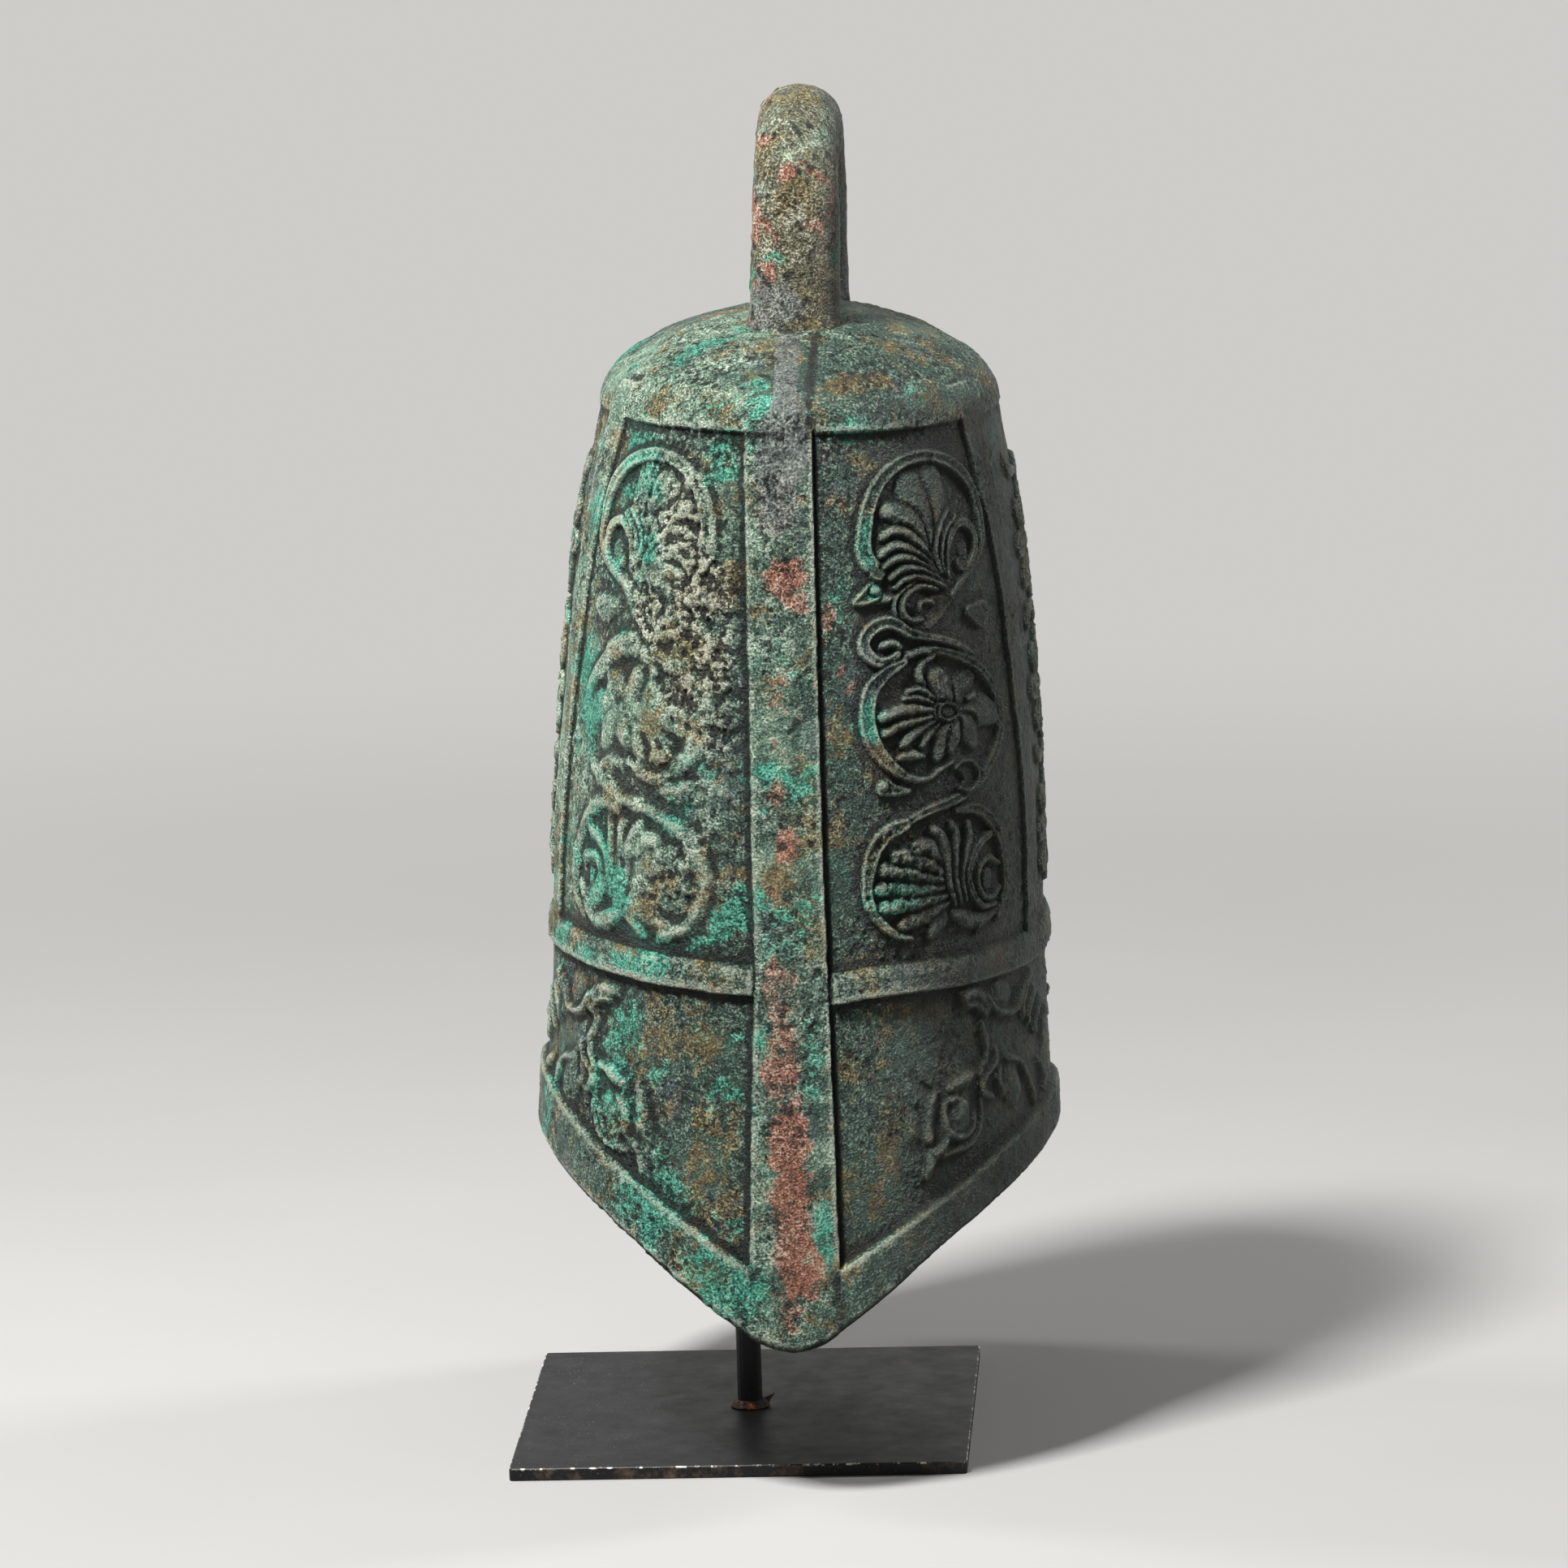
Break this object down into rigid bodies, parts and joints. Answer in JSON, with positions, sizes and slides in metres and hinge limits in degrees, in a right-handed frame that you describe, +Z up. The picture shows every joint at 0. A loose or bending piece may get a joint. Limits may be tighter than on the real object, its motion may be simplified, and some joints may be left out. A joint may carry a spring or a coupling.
{
  "type": "temple bell on stand",
  "caption": "Oval cast-bronze temple bell with pointed mouth, raised bands and a thick hanging loop, resting over the padded post of a flat square steel stand.",
  "frame": {"origin": "centre of the underside of the square stand plate, on the axis of the post", "axes": "+Z up along the post, -Y to the front (the narrow side of the oval bell that faces the viewer), +X to the viewer's right"},
  "size_m": [0.2766, 0.3348, 0.682],
  "materials": {
    "body_bronze": "corroded cast bronze: dark grey-green with turquoise, red-brown and buff patches, sandy and dull",
    "loop_bronze": "worn cast bronze: buff-brown with green and red patches, smoother on the crest",
    "inner_bronze": "dull green-brown cast bronze",
    "wrought_iron": "dark rusted wrought iron",
    "black_paint": "satin black paint with pale chips on the edges",
    "rusty_weld": "rough weld, rusted orange-brown",
    "pad_rubber": "matt black rubber"
  },
  "bodies": {
    "stand": {"base_plate": "black_paint", "stand_post": "black_paint", "post_foot_weld": "rusty_weld", "head_ring": "black_paint", "post_head_weld": "black_paint", "crown_pad_left": "pad_rubber", "crown_pad_right": "pad_rubber", "crown_pad_front": "pad_rubber", "crown_pad_rear": "pad_rubber"},
    "bell": {"bell_body": "body_bronze", "suspension_loop": "loop_bronze", "clapper_staple": "inner_bronze"},
    "clapper": {"clapper_rod": "wrought_iron", "clapper_ball": "inner_bronze"}
  },
  "joints": [
    {"name": "bell_lift", "type": "slide", "parent": "stand", "child": "bell", "axis": [0, 0, 1], "range_m": [0, 0.5]},
    {"name": "clapper_swing", "type": "hinge", "parent": "bell", "child": "clapper", "pos_m": [0.04165, 0, 0.5306], "axis": [1, 0, 0], "range_deg": [-20.5, 20.5]}
  ]
}
